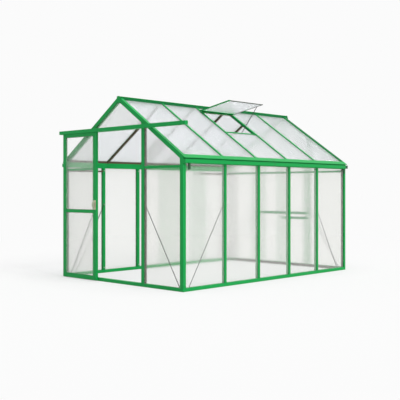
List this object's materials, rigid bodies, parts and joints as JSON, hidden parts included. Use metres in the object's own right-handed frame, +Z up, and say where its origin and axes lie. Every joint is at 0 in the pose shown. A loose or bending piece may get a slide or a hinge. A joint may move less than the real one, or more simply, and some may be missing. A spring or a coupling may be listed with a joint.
{
  "type": "polycarbonate greenhouse",
  "caption": "Hobby greenhouse with a pitched roof: a grooved aluminium frame glazed with polycarbonate sheets, a sliding door in the front gable, gutters and a roof vent held open.",
  "frame": {"origin": "on the ground, in the middle of the whole outline", "axes": "+Z up; X across the gables; Y along the ridge, with the door gable facing -Y"},
  "size_m": [2.223, 3.252, 2.181],
  "materials": {
    "frame": "satin green powder coat on aluminium",
    "brace": "bare mill finish",
    "sheet": "clear twin-wall polycarbonate, seen as a milky grey",
    "rod": "dark grey paint",
    "handle": "matt olive beige",
    "stop": "black rubber",
    "wheel": "dark nylon wheels on a zinc plate"
  },
  "bodies": {
    "house": {"base_front": "frame", "base_rear": "frame", "base_left": "frame", "base_right": "frame", "corner_posts": "frame", "studs_left": "frame", "studs_right": "frame", "ties_left": "frame", "head_beam_left": "frame", "head_beam_right": "frame", "gutter_left": "frame", "gutter_right": "frame", "spouts": "frame", "ridge_beam": "frame", "ridge_plates": "frame", "front_rafters": "frame", "rear_rafters": "frame", "roof_bars_left": "frame", "roof_bars_right": "frame", "door_jambs": "frame", "door_header": "frame", "front_rails": "frame", "rear_posts": "frame", "rear_middle_bar": "frame", "rear_rails": "frame", "rear_low_rail": "frame", "braces_left": "brace", "braces_right": "brace", "braces_front": "brace", "braces_rear": "brace", "wall_sheets_left": "sheet", "wall_sheets_right": "sheet", "front_sheets": "sheet", "rear_sheets": "sheet", "roof_sheets_left": "sheet", "roof_sheets_right": "sheet", "vent_rails": "frame", "vent_frame": "frame", "vent_sheet": "sheet", "vent_stay": "rod", "door_track": "frame", "track_stops": "stop"},
    "door": {"door_frame": "frame", "door_sheets": "sheet", "door_handle": "handle", "door_hangers": "wheel"}
  },
  "joints": [
    {"name": "door_slide", "type": "slide", "parent": "house", "child": "door", "axis": [1, 0, 0], "range_m": [0, 1.428]}
  ]
}
